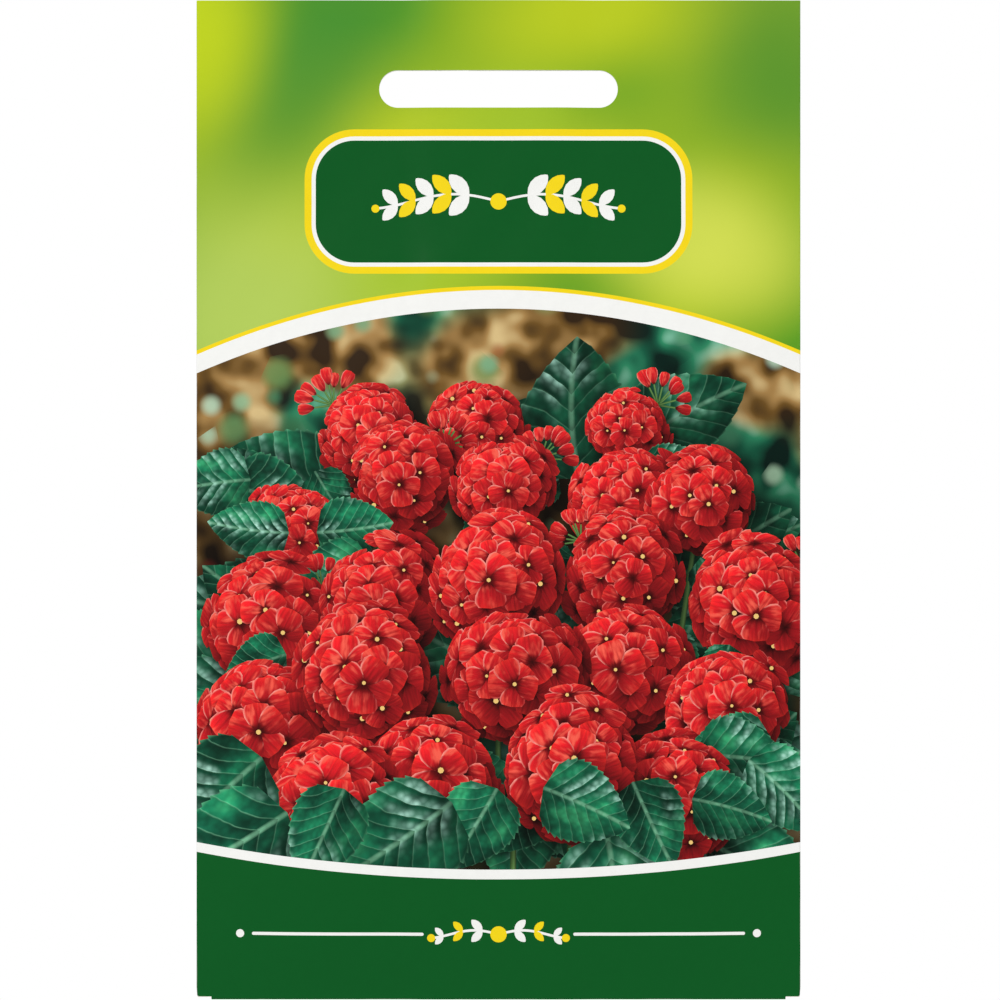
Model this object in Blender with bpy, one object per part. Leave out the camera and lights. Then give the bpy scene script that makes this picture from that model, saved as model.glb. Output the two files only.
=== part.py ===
# A printed seed packet, hanging from its slot: one folded sheet of paper, a four-side-sealed sachet and its seed.
# X runs across the packet, Z runs up, and the printed front faces -Y.
# The origin is the middle of the hang slot's upper wall, where a display hook carries the packet.
import math

import bmesh
import bpy
import numpy as np

MM = 0.001

# The folded packet
PACKET_WIDTH = 81 * MM
PACKET_HEIGHT = 134 * MM
PAPER = 0.2 * MM
LAYER_GAP = 0.15 * MM  # air between two layers that lie on each other
TOP_TO_SLOT = 9.4 * MM  # from the top edge down to the slot's upper wall

# The hang slot, the usual 32 x 5 mm with round ends
SLOT_WIDTH = 32 * MM
SLOT_HEIGHT = 5 * MM
SLOT_END_SIDES = 16
SLOT_CUTTER_REACH = 10 * MM  # how far the cutter runs past the middle of the layers, each way

# The lap where the two back wings cross, and the ease in the inner wing beside it
LAP_HALF = 4 * MM
LAP_EASE_START = 4.5 * MM
LAP_EASE_END = 8 * MM
RIDGE_END = 13 * MM  # where the front is flat again beside the lap

# The bottom flap, folded up behind the wings
FLAP_HALF = 38.5 * MM
FLAP_HEIGHT = 14 * MM
FLAP_TAPER = 6 * MM  # how much narrower each side is at the flap's top

# How the filled front stands out
PILLOW_DEPTH = 2.8 * MM
PILLOW_SIDE_POWER = 3
PILLOW_FOOT = 20 * MM  # rises over this height from the bottom edge
PILLOW_SHOULDER = 64 * MM  # begins to fall off this far below the top edge
PILLOW_HEAD = 23 * MM  # and is gone this far below it

# The sachet
SACHET_HALF = 29 * MM
SACHET_HEIGHT = 78 * MM
SACHET_SEAL = 5 * MM
SACHET_ABOVE_BOTTOM = 9 * MM
FILM = 0.15 * MM
FILM_GAP = 0.1 * MM
FILM_BULGE = 1.6 * MM
FILM_SIDE_POWER = 6
FILM_FOOT = 4 * MM
FILM_HEAD = 14 * MM
FILM_UPPER_SHARE = 0.45  # the emptier upper part stands out this much of the bulge
FILM_SHOULDER = 0.84  # share of the chamber's half width beyond which the film falls off steeply
FILM_CLEARANCE = 0.025 * MM  # more than LAYER_GAP between the lap and the back film
FILM_HEAP = 24 * MM  # height of the full bulge above the bottom seal

# The seed
SEED_LENGTH = 3.1 * MM
SEED_BREADTH = 1.8 * MM
SEED_DEPTH = 1.3 * MM
SEED_TAPER = 0.35
SEED_SPACING = 3.5 * MM
SEED_ROW_SPACING = 2.9 * MM
SEED_ROWS = (7, 8, 9, 9, 7)  # seeds in each row of the heap, from the bottom
SEED_FIRST_ROW = 4.2 * MM  # above the bottom seal
SEED_TURN = math.radians(22)
SEED_DRAW = 8

FOLD_SIDES = 6
GRID = 4 * MM

LEVEL = PAPER + LAYER_GAP  # from the middle of one layer to the middle of the next
FLAP_LEVEL = PAPER / 2
WING_LEVEL = FLAP_LEVEL + LEVEL
FRONT_LEVEL = WING_LEVEL + LEVEL
SIDE_RADIUS = LEVEL / 2
SIDE_FOLD = PACKET_WIDTH / 2 - PAPER / 2 - SIDE_RADIUS
TOP = TOP_TO_SLOT
BOTTOM = TOP - PACKET_HEIGHT
MIDDLE_LEVEL = FRONT_LEVEL  # the level that y = 0 cuts, halfway through the layers at the slot
BACK_FILM_LEVEL = WING_LEVEL + LEVEL + PAPER / 2 + LAYER_GAP + FILM / 2 + FILM_CLEARANCE
FRONT_FILM_LEVEL = BACK_FILM_LEVEL + FILM + FILM_GAP
SACHET_BOTTOM = BOTTOM + SACHET_ABOVE_BOTTOM
SACHET_TOP = SACHET_BOTTOM + SACHET_HEIGHT


def ease(value, start, end):
    """0 before start and 1 after end, with a smooth change between them."""
    share = np.clip((value - start) / (end - start), 0, 1)
    return share * share * (3 - 2 * share)


def stops(start, end, step=GRID):
    """Evenly spaced values from start to end, at most step apart."""
    count = max(1, math.ceil(abs(end - start) / step - 1e-9))
    return np.linspace(start, end, count + 1)


def run(*values):
    """The stops between each two neighbouring values, one after another."""
    pieces = [stops(a, b)[:-1] for a, b in zip(values[:-1], values[1:])]
    return np.concatenate(pieces + [values[-1:]])


def material(name, colour, roughness):
    made = bpy.data.materials.new(name)
    made.use_nodes = True
    shader = made.node_tree.nodes["Principled BSDF"]
    shader.inputs["Base Color"].default_value = (*colour, 1)
    shader.inputs["Roughness"].default_value = roughness
    made.diffuse_color = (*colour, 1)
    return made


def surface(name, x, level, z, faces, thickness, finish):
    """A sheet through the given points, with its thickness shared between both sides."""
    points = np.stack([x, MIDDLE_LEVEL - level, z], axis=-1).reshape(-1, 3)
    mesh = bpy.data.meshes.new(name)
    mesh.from_pydata(points.tolist(), [], faces)
    mesh.materials.append(finish)
    made = bpy.data.objects.new(name, mesh)
    bpy.context.scene.collection.objects.link(made)
    wall = made.modifiers.new("Thickness", "SOLIDIFY")
    wall.thickness = thickness
    wall.offset = 0
    wall.use_even_offset = True
    return made


def grid_faces(points):
    """Quads between neighbours in a grid of point numbers."""
    quads = np.stack([points[:-1, :-1], points[:-1, 1:], points[1:, 1:], points[1:, :-1]], axis=-1)
    return quads.reshape(-1, 4).tolist()


def numbered(rows, columns, first=0):
    """A grid of point numbers, row by row."""
    return first + np.arange(rows * columns).reshape(rows, columns)


def pillow_height(z):
    """How much of its full depth the pillow has at each height."""
    foot = np.sin(np.clip((z - BOTTOM) / PILLOW_FOOT, 0, 1) * math.pi / 2)
    return foot * (1 - ease(z, TOP - PILLOW_SHOULDER, TOP - PILLOW_HEAD))


def pillow_side(x):
    """How much of its full depth the pillow has across the front."""
    return 1 - np.clip(np.abs(x) / SIDE_FOLD, 0, 1) ** PILLOW_SIDE_POWER


def ridge(x):
    """The rise of the front over the lap, which is one layer thicker."""
    return LEVEL * (1 - ease(np.abs(x), LAP_EASE_END, RIDGE_END))


def strip_columns():
    """Across the unfolded strip, from the inner wing's edge to the outer wing's: x, the level of the
    empty packet, and whether the column is on the front."""
    turn = np.linspace(0, math.pi, FOLD_SIDES + 1)[1:-1]
    inner_x = run(LAP_HALF, -LAP_EASE_START, -LAP_EASE_END, -SIDE_FOLD)
    inner_level = WING_LEVEL + LEVEL * (1 - ease(-inner_x, LAP_EASE_START, LAP_EASE_END))
    left_x = -SIDE_FOLD - SIDE_RADIUS * np.sin(turn)
    fold_level = WING_LEVEL + SIDE_RADIUS * (1 - np.cos(turn))
    half = run(LAP_EASE_END, RIDGE_END, FLAP_HALF, SIDE_FOLD)
    front_x = np.concatenate([-half[::-1], stops(-LAP_EASE_END, LAP_EASE_END)[1:-1], half])
    outer_x = run(SIDE_FOLD, -LAP_HALF)
    x = np.concatenate([inner_x, left_x, front_x, -left_x[::-1], outer_x])
    level = np.concatenate(
        [
            inner_level,
            fold_level,
            np.full(len(front_x), FRONT_LEVEL),
            fold_level[::-1],
            np.full(len(outer_x), WING_LEVEL),
        ]
    )
    front = np.zeros(len(x), bool)
    front[len(inner_x) + len(left_x) :][: len(front_x)] = True
    return x, level, front


def paper_packet(finish):
    x, level, front = strip_columns()
    heights = run(BOTTOM, BOTTOM + PILLOW_FOOT, TOP)
    share = np.where(front, pillow_side(x), 0)
    swell = pillow_height(heights)[:, None] * share[None, :]
    lap_rise = np.where(front, ridge(x), 0)[None, :] * (1 - swell)
    levels = level + lap_rise + PILLOW_DEPTH * swell
    z = np.repeat(heights[:, None], len(x), axis=1)

    # The bottom fold is rounder over the lap, and its lowest line stays straight.
    radius = np.where(front, (levels[0] - FLAP_LEVEL) / 2, SIDE_RADIUS * 2)
    z[0] = BOTTOM + PAPER / 2 + radius
    strip = numbered(len(heights), len(x))

    flap = np.flatnonzero(front & (np.abs(x) < (FLAP_HALF + SIDE_FOLD) / 2))
    flap_x, flap_radius, fold_z = x[flap], radius[flap], z[0][flap]
    turn = np.linspace(0, math.pi, FOLD_SIDES + 1)[1:, None]
    bend_x = np.repeat(flap_x[None, :], FOLD_SIDES, axis=0)
    bend_level = FLAP_LEVEL + flap_radius * (1 + np.cos(turn))
    bend_z = fold_z - flap_radius * np.sin(turn)
    up = stops(0, 1, GRID / FLAP_HEIGHT)[1:, None]
    up_x = flap_x * (1 - up * FLAP_TAPER / FLAP_HALF)
    up_level = np.full(up_x.shape, FLAP_LEVEL)
    up_z = fold_z + up * (BOTTOM + FLAP_HEIGHT - fold_z)

    folded_up = np.vstack([strip[0, flap], numbered(FOLD_SIDES + len(up), len(flap), strip.size)])
    faces = grid_faces(strip) + grid_faces(folded_up[:, ::-1])
    strip_x = np.repeat(x[None, :], len(heights), axis=0)
    all_x = np.concatenate([strip_x.ravel(), bend_x.ravel(), up_x.ravel()])
    all_level = np.concatenate([levels.ravel(), bend_level.ravel(), up_level.ravel()])
    all_z = np.concatenate([z.ravel(), bend_z.ravel(), up_z.ravel()])
    made = surface("paper_packet", all_x, all_level, all_z, faces, PAPER, finish)

    cut = made.modifiers.new("Hang slot", "BOOLEAN")
    cut.operation = "DIFFERENCE"
    cut.solver = "EXACT"
    cut.object = slot_cutter()
    return made


def slot_cutter():
    """A bar with half-round ends that runs through every layer."""
    end = SLOT_HEIGHT / 2
    turn = np.linspace(-math.pi / 2, math.pi / 2, SLOT_END_SIDES + 1)
    x = SLOT_WIDTH / 2 - end + end * np.cos(turn)
    z = end * np.sin(turn)
    outline = list(zip(x, z)) + list(zip(-x, -z))
    shape = bmesh.new()
    side = [shape.verts.new((px, -SLOT_CUTTER_REACH, pz - end)) for px, pz in outline]
    face = shape.faces.new(side)
    moved = bmesh.ops.extrude_face_region(shape, geom=[face])["geom"]
    far_side = [item for item in moved if isinstance(item, bmesh.types.BMVert)]
    bmesh.ops.translate(shape, vec=(0, 2 * SLOT_CUTTER_REACH, 0), verts=far_side)
    bmesh.ops.recalc_face_normals(shape, faces=shape.faces)
    mesh = bpy.data.meshes.new("hang_slot_cutter")
    shape.to_mesh(mesh)
    shape.free()
    cutter = bpy.data.objects.new("hang_slot_cutter", mesh)
    bpy.context.scene.collection.objects.link(cutter)
    cutter.hide_render = True
    cutter.display_type = "WIRE"
    return cutter


def film_bulge(x, z):
    """How far the sachet's front film stands out over the seed: full over the heap, less above it."""
    foot = SACHET_BOTTOM + SACHET_SEAL
    head = SACHET_TOP - SACHET_SEAL
    across = 1 - np.clip(np.abs(x) / (SACHET_HALF - SACHET_SEAL), 0, 1) ** FILM_SIDE_POWER
    rise = ease(z, foot, foot + FILM_FOOT)
    upper = 1 - (1 - FILM_UPPER_SHARE) * ease(z, foot + FILM_HEAP, head - FILM_HEAD)
    fall = 1 - ease(z, head - FILM_HEAD, head)
    return FILM_BULGE * across * rise * upper * fall


def sachet_film(name, level, bulge, finish):
    foot = SACHET_BOTTOM + SACHET_SEAL
    chamber = SACHET_HALF - SACHET_SEAL
    shoulder = chamber * FILM_SHOULDER
    x = run(-SACHET_HALF, -chamber, -shoulder, shoulder, chamber, SACHET_HALF)
    z = np.concatenate([stops(SACHET_BOTTOM, foot)[:-1], stops(foot, foot + FILM_FOOT, MM)[:-1]])
    z = np.concatenate([z, run(foot + FILM_FOOT, SACHET_TOP - SACHET_SEAL, SACHET_TOP)])
    across, up = np.meshgrid(x, z)
    levels = level + bulge * film_bulge(across, up)
    return surface(name, across, levels, up, grid_faces(numbered(len(z), len(x))), FILM, finish)


def seed_mesh(finish):
    """One smooth nutlet, long across, blunt at one end and narrower at the other."""
    shape = bmesh.new()
    bmesh.ops.create_icosphere(shape, subdivisions=2, radius=0.5)
    for vertex in shape.verts:
        narrow = 1 - SEED_TAPER * max(0, vertex.co.x) * 2
        vertex.co.x *= SEED_LENGTH
        vertex.co.y *= SEED_DEPTH * narrow
        vertex.co.z *= SEED_BREADTH * narrow
    mesh = bpy.data.meshes.new("seed")
    shape.to_mesh(mesh)
    shape.free()
    mesh.materials.append(finish)
    mesh.shade_smooth()
    return mesh


def seeds(finish):
    """The heap of seed between the films, settled over the bottom seal in rows that fit between each other."""
    draw = np.random.default_rng(SEED_DRAW)
    mesh = seed_mesh(finish)
    level = BACK_FILM_LEVEL + FILM / 2 + LAYER_GAP + SEED_DEPTH / 2
    number = 0
    for row, count in enumerate(SEED_ROWS):
        z = SACHET_BOTTOM + SACHET_SEAL + SEED_FIRST_ROW + row * SEED_ROW_SPACING
        for place in range(count):
            number += 1
            seed = bpy.data.objects.new(f"seed_{number:02d}", mesh)
            seed.location = ((place - (count - 1) / 2) * SEED_SPACING, MIDDLE_LEVEL - level, z)
            flip = math.pi * draw.integers(0, 2)
            seed.rotation_euler = (0, flip + draw.uniform(-SEED_TURN, SEED_TURN), 0)
            bpy.context.scene.collection.objects.link(seed)


for leftover in list(bpy.data.objects):
    bpy.data.objects.remove(leftover)

paper_packet(material("printed_paper", (0.30, 0.42, 0.06), 0.45))
film = material("sachet_film", (0.75, 0.77, 0.78), 0.3)
sachet_film("sachet_back_film", BACK_FILM_LEVEL, 0, film)
sachet_film("sachet_front_film", FRONT_FILM_LEVEL, 1, film)
seeds(material("seed_coat", (0.05, 0.03, 0.02), 0.6))
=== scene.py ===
import math

import bpy
import numpy as np
from mathutils import Matrix, Vector
from mathutils.bvhtree import BVHTree
from mathutils.geometry import delaunay_2d_cdt


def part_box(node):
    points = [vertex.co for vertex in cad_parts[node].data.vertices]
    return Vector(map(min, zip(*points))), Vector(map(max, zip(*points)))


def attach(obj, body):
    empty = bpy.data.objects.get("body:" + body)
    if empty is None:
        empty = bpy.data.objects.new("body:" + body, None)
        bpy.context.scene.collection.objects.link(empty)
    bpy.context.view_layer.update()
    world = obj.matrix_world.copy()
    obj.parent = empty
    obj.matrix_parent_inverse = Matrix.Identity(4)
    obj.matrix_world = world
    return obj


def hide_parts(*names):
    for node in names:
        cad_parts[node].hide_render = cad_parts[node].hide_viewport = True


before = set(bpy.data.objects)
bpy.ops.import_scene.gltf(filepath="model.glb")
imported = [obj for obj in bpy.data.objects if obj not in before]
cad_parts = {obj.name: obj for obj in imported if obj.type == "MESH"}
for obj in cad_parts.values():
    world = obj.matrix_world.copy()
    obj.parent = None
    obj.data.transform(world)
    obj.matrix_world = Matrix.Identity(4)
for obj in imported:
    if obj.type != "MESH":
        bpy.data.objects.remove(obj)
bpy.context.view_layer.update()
packetLow, packetHigh = (np.array(corner) * 1000 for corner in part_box("paper_packet"))
top, bottom = packetHigh[2], packetLow[2]

# How the sheet is folded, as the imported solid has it
sheet = {
    "paper": 0.2,
    "layerStep": 0.35,  # from the middle of one layer to the middle of the next
    "flapHalf": 38.5,
    "flapHeight": 14,
    "flapTaper": 6,
    "bottomTurn": 1.25,  # mean radius of the bottom fold, in layer steps
    "bottomEase": 5,  # how far up the front the bottom fold's shift fades out
    "lapHalf": 4,
    "lapEase": (4.5, 8),
    "ridgeEnd": 13,
    "pillowDepth": 2.8,
    "pillowSidePower": 3,
    "pillowFoot": 20,
    "foldTop": 0.7,  # the front starts to swell this far above the bottom edge
    "pillowShoulder": 64,
    "pillowHead": 23,
    "slotWidth": 32,
    "slotHeight": 5,
}
flapLevel = sheet["paper"] / 2
wingLevel = flapLevel + sheet["layerStep"]
frontLevel = wingLevel + sheet["layerStep"]
foldRadius = sheet["layerStep"] / 2
foldRun = math.pi * foldRadius  # the length of paper in a side fold
sideFold = packetHigh[0] - sheet["paper"] / 2 - foldRadius
blankHalf = 2 * sideFold + foldRun + sheet["lapHalf"]
bottomFold = bottom + sheet["paper"] / 2 + sheet["layerStep"]
bottomRun = math.pi * sheet["layerStep"] * sheet["bottomTurn"]  # the paper in the bottom fold


# 0 before start, 1 after end, and 3t^2 - 2t^3 between them
def ease(value, start, end):
    share = np.clip((value - start) / (end - start), 0, 1)
    return share * share * (3 - 2 * share)


# The full front: 1 - |x|^3 across, times a quarter sine up from the foot and an ease at the head
def pillow(x, z):
    across = 1 - np.clip(np.abs(x) / sideFold, 0, 1) ** sheet["pillowSidePower"]
    foot = np.sin(np.clip((z - bottom - sheet["foldTop"]) / sheet["pillowFoot"], 0, 1) * math.pi / 2)
    return across * foot * (1 - ease(z, top - sheet["pillowShoulder"], top - sheet["pillowHead"]))


relief = {
    # Each dent wave's depth, run in x and z, and start
    "dents": ((0.10, 23, 31, 0.4), (0.07, 13, -17, 1.9), (0.05, -9, 12, 4.2)),
    "dentFade": 9,  # how far from the folds the dents reach their depth
    "sachet": (29, -115.6, -37.6),  # half width, foot and head of the sachet that shows through
    "sachetStep": 0.09,
    "sachetEase": 2.2,
}


# Soft dents, a sum of plane sine waves that fade out at the folds, and the sachet's outline pressed through
def frontRelief(x, z):
    fade = ease(sideFold - np.abs(x), 0, relief["dentFade"]) * ease(z - bottom, 0, relief["dentFade"])
    dents = sum(
        depth * (1 + np.sin(2 * math.pi * (x / runX + z / runZ) + start)) / 2
        for depth, runX, runZ, start in relief["dents"]
    )
    half, foot, head = relief["sachet"]
    soft = relief["sachetEase"]
    inside = ease(half - np.abs(x), -soft, 0) * ease(z - foot, -soft, 0) * ease(head - z, -soft, 0)
    return dents * fade + relief["sachetStep"] * inside


# Where the flat sheet's point (s, y) lies once folded, in the middle of the paper. Across, it goes along the
# front, half round a fold, and back along a wing. Below the bottom fold it goes round and up again.
def foldMiddle(s, y):
    side, away = np.sign(s), np.abs(s)
    turn = np.clip((away - sideFold) / foldRun, 0, 1) * math.pi
    onFront, onWing = away <= sideFold, away >= sideFold + foldRun
    x = np.where(onFront, s, side * (sideFold + foldRadius * np.sin(turn)))
    x = np.where(onWing, side * (2 * sideFold + foldRun - away), x)
    ridge = sheet["layerStep"] * (1 - ease(np.abs(x), sheet["lapEase"][1], sheet["ridgeEnd"]))
    radius = (frontLevel + ridge - flapLevel) / 2
    foldAt = np.where(onFront, bottom + flapLevel + radius, bottomFold)
    z = y + (foldAt - bottomFold) * np.clip(1 - (y - bottomFold) / sheet["bottomEase"], 0, 1)
    swell = pillow(x, z)
    front = frontLevel + ridge * (1 - swell) + sheet["pillowDepth"] * swell + frontRelief(x, z)
    innerRise = sheet["layerStep"] * (1 - ease(-x, *sheet["lapEase"]))
    wing = wingLevel + foldRadius * (1 + np.cos(turn)) + np.where(onWing & (side < 0), innerRise, 0)
    level = np.where(onFront, front, wing)
    below = bottomFold - y
    bend = np.clip(below / bottomRun, 0, 1) * math.pi
    upFlap = (bottom + sheet["flapHeight"] - foldAt) * np.clip(below / bottomRun - 1, 0, None)
    upFlap = upFlap * bottomRun / (sheet["flapHeight"] - sheet["layerStep"])
    z = np.where(below > 0, foldAt - radius * np.sin(bend) + upFlap, z)
    level = np.where(below > 0, flapLevel + radius * (1 + np.cos(bend)), level)
    return np.stack([x, packetHigh[1] - level, z], axis=-1)


# The outward normal is the cross product of the two differences over a hair's breadth of sheet
def foldNormal(s, y):
    hair = 0.004
    across = foldMiddle(s + hair, y) - foldMiddle(s - hair, y)
    up = foldMiddle(s, y + hair) - foldMiddle(s, y - hair)
    normal = np.cross(across, up)
    return normal / np.linalg.norm(normal, axis=-1, keepdims=True)


print("sheet worked out")

shapes = []
covers = []


# The same outline with points added, so that its longer sides follow the sheet where it curves
def stepped(outline, step=1.6):
    after = np.roll(outline, -1, axis=0)
    counts = np.ceil(np.linalg.norm(after - outline, axis=1) / step).astype(int).clip(1)
    start, end = np.repeat(outline, counts, axis=0), np.repeat(after, counts, axis=0)
    number = np.arange(counts.sum()) - np.repeat(np.cumsum(counts) - counts, counts)
    return start + (end - start) * (number / np.repeat(counts, counts))[:, None]


# A flat shape on the sheet in one ink. Its own place is (u, v) = matrix^-1 (point - origin). light holds its
# tone, the u up to which something covers it, its draw and its tilt to the light. bend bows its midrib.
def addShape(outline, ink, origin=(0, 0), matrix=((1, 0), (0, 1)), light=(1, 0, 0, 0), bend=0.0):
    outline = stepped(np.asarray(outline, float))
    after = np.roll(outline, -1, axis=0)
    if np.sum(outline[:, 0] * after[:, 1] - after[:, 0] * outline[:, 1]) < 0:
        outline = outline[::-1]
    shape = {"outline": outline, "ink": ink, "origin": origin, "matrix": np.asarray(matrix, float)}
    shapes.append({**shape, "light": light, "bend": bend, "above": len(covers)})


# Something in the picture that shades what was drawn before it: an oval about centre
def addCover(centre, matrix, kind):
    covers.append({"centre": centre, "matrix": matrix, **shadow[kind]})


# offset is how far a shadow falls, in mm, and it fades between two shares of the oval's radius
shadow = {
    "head": {"offset": (0.9, -1.6), "fade": (0.7, 1.32), "depth": 0.85},
    "floret": {"offset": (0.2, -0.36), "fade": (0.66, 1.26), "depth": 0.68},
    "leaf": {"offset": (0.5, -0.9), "fade": (0.7, 1.35), "depth": 0.55},
}


def turned(angle):
    return np.array([[math.cos(angle), -math.sin(angle)], [math.sin(angle), math.cos(angle)]])


def toward(angle):
    return np.array([math.cos(angle), math.sin(angle)])


def leftOf(way):
    return np.array([-way[1], way[0]])


# A draw from -reach to reach
def sway(draw, reach):
    return draw.uniform(-reach, reach)


petal = {"steps": 6, "foot": 0.72, "tip": 0.3}
leaf = {
    "steps": 22,
    "foot": 0.42,
    "tip": 0.86,
    "teeth": 13,
    "toothDepth": 0.07,
    "bend": 0.45,  # the most that its midrib bows, over its half width
    "middle": (0.48, 0.25),  # of its shadow: the share along it, and across it the share of its bend
}
lightFrom = math.radians(125)
lightTilt = 0.75  # how far the light leans from the eye's direction towards lightFrom


# Half width u^foot (1 - u)^tip, at most 1
def bladeWidth(u, foot, tip):
    widest = foot / (foot + tip)
    return u**foot * (1 - u) ** tip / (widest**foot * (1 - widest) ** tip)


# A blade's outline at cosine-spaced stations, or at its teeth's tips and notches, up one side and down the
# other, bowed by bend u^2 across
def bladeOutline(steps, foot, tip, teeth=0, toothDepth=0.0, bend=0.0):
    u = (1 - np.cos(np.linspace(0, math.pi, steps + 1))) / 2
    if teeth:
        notch, slope = np.arange(1, teeth), 0.12  # slope is the steep side's share of a tooth
        u = np.sort(np.concatenate([notch / teeth, (notch - slope) / teeth, [0, 1]]))
    width = bladeWidth(u, foot, tip) * (1 - toothDepth * (1 - (u * teeth) % 1) * (teeth > 0))
    bow = bend * u * u
    return np.concatenate([np.stack([u, bow + width], -1), np.stack([u, bow - width], -1)[-2:0:-1]])


petalOutline = bladeOutline(petal["steps"], petal["foot"], petal["tip"])


def addPetal(foot, matrix, light):
    addShape(foot + petalOutline @ matrix.T, "petal", foot, matrix, light)


floret = {
    "petals": 5,
    "spacing": 0.13,  # how unevenly they are spaced
    "half": 0.52,  # half width over length
    "lengths": (0.86, 1.12),
    "halves": (0.88, 1.12),
    "twist": 0.12,
    "sides": 0.2,  # how much lighter a petal on the light's side is
    "tones": 0.12,
    "eye": 0.13,
    "anther": 0.085,
    "antherSizes": (0.7, 1.25),
    "antherShift": 0.06,
    "open": 0.85,  # how many of those that face the eye show their anthers
}


# A small five-petalled flower seen along its lean: seen squashes it, and tone is how much light it gets
def addFloret(centre, radius, seen, tone, draw):
    addCover(centre, seen * radius, "floret")
    start = draw.uniform(0, 2 * math.pi)
    for place in draw.permutation(floret["petals"]):
        angle = start + 2 * math.pi * (place + sway(draw, floret["spacing"])) / floret["petals"]
        along = toward(angle)
        length = radius * draw.uniform(*floret["lengths"])
        half = length * floret["half"] * draw.uniform(*floret["halves"])
        twist = turned(sway(draw, floret["twist"]))
        own = seen @ np.stack([twist @ along * length, twist @ leftOf(along) * half], -1)
        lit = tone * (1 + floret["sides"] * math.cos(angle - lightFrom)) + sway(draw, floret["tones"])
        addPetal(centre, own, (lit, floret["eye"], draw.uniform(0, 1), math.sin(lightFrom - angle)))
    if draw.uniform(0, 1) < floret["open"] * np.linalg.det(seen):
        at = centre + seen @ (draw.uniform(-floret["antherShift"], floret["antherShift"], 2) * radius)
        addShape(disc(at, radius * floret["anther"] * draw.uniform(*floret["antherSizes"]), 7), "anther")


head = {
    "florets": 28,
    "counts": (0.9, 1.1),
    "floretRadius": 0.37,  # over the head's
    "sizes": (0.88, 1.14),
    "reach": 0.86,  # how far out the florets' middles reach, over the radius
    "reaches": (0.92, 1.08),
    "sway": 0.1,
    "flattest": 0.42,  # the most that a floret at the rim is squashed
    "under": 0.78,  # radius of the dark disc behind them
    "cover": 1.05,
    "tones": (0.36, 1.14),  # away from and towards the light
    "ownTone": 0.07,
    "uneven": (0.1, 0.06),  # how far the rim swings in and out, twice and three times round
}
goldenAngle = math.pi * (3 - math.sqrt(5))


# A round head of small flowers: florets spaced by the golden angle over the half ball that faces the eye,
# drawn from its rim to its middle, each squashed as its own place on the ball leans
def addHead(centre, radius, draw):
    centre = np.asarray(centre, float)
    addCover(centre, np.eye(2) * radius * head["cover"], "head")
    under = centre + disc((0, 0), 1) * radius * head["under"]
    addShape(under, "petal", centre - (400, 0), np.eye(2) * 1000, (0.3, 0, 0.5, 0))  # one even dark tone
    lightWay = np.append(toward(lightFrom) * lightTilt, 1)
    lightWay /= np.linalg.norm(lightWay)
    start, ownTone = draw.uniform(0, 2 * math.pi), sway(draw, head["ownTone"])
    twice, thrice = draw.uniform(0, 2 * math.pi, 2)
    count = round(head["florets"] * draw.uniform(*head["counts"]))
    for number in range(count - 1, -1, -1):
        depth = 1 - (number + 0.4) / count
        away = math.sqrt(1 - depth * depth)
        angle = start + number * goldenAngle + sway(draw, head["sway"])
        out, (two, three) = toward(angle), head["uneven"]
        swing = two * math.sin(2 * angle + twice) + three * math.sin(3 * angle + thrice)
        at = centre + out * radius * (head["reach"] + swing) * away * draw.uniform(*head["reaches"])
        seen = turned(angle) @ np.diag([max(depth, head["flattest"]), 1]) @ turned(-angle)
        facing = max(0.0, float(np.dot(lightWay, (*(out * away), depth))))
        low, high = head["tones"]
        tone = low + (high - low) * facing + ownTone
        addFloret(at, radius * head["floretRadius"] * draw.uniform(*head["sizes"]), seen, tone, draw)


def addLeaf(root, angle, length, half, tone, draw):
    root = np.asarray(root, float)
    along = toward(angle)
    matrix = np.stack([along * length, leftOf(along) * half], -1)
    bend = sway(draw, leaf["bend"])
    outline = bladeOutline(leaf["steps"], leaf["foot"], leaf["tip"], leaf["teeth"], leaf["toothDepth"], bend)
    middle = root + matrix @ (leaf["middle"] * np.array([1, bend]))
    addCover(middle, matrix @ np.diag([0.5, 1.0]), "leaf")
    light = (tone, 0, draw.uniform(0, 1), math.sin(lightFrom - angle))
    addShape(root + outline @ matrix.T, "leaf", root, matrix, light, bend)


stalkOutline = np.array([[0, -1], [1, -0.7], [1, 0.7], [0, 1]])  # straight sided and narrowing to 0.7


def addStalk(root, end, half):
    along = np.subtract(end, root)
    matrix = np.stack([along, leftOf(along) / np.linalg.norm(along) * half], -1)
    addShape(root + stalkOutline @ matrix.T, "stalk", root, matrix)


buds = {
    "count": 7,
    "spread": 0.36,  # angle between neighbours
    "sway": 0.12,
    "stalk": (0.4, 0.62),  # this and the length over the spray's size
    "stalkHalf": 0.16,
    "lengths": (0.44, 0.6),
    "half": 0.34,
    "tone": 0.86,
    "sides": 0.3,
}


# A spray of closed buds on thin stalks that fan out from one point
def addBuds(centre, size, angle, draw):
    for number in draw.permutation(buds["count"]):
        spread = (number - (buds["count"] - 1) / 2) * buds["spread"] + sway(draw, buds["sway"])
        along = toward(angle + spread)
        foot = centre + along * size * draw.uniform(*buds["stalk"])
        addStalk(centre, foot, buds["stalkHalf"])
        matrix = np.stack([along, leftOf(along) * buds["half"]], -1) * (size * draw.uniform(*buds["lengths"]))
        tone = buds["tone"] + buds["sides"] * math.cos(angle + spread - lightFrom)
        addPetal(foot, matrix, (tone, 0, draw.uniform(0, 1), math.sin(lightFrom - angle - spread)))


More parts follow.
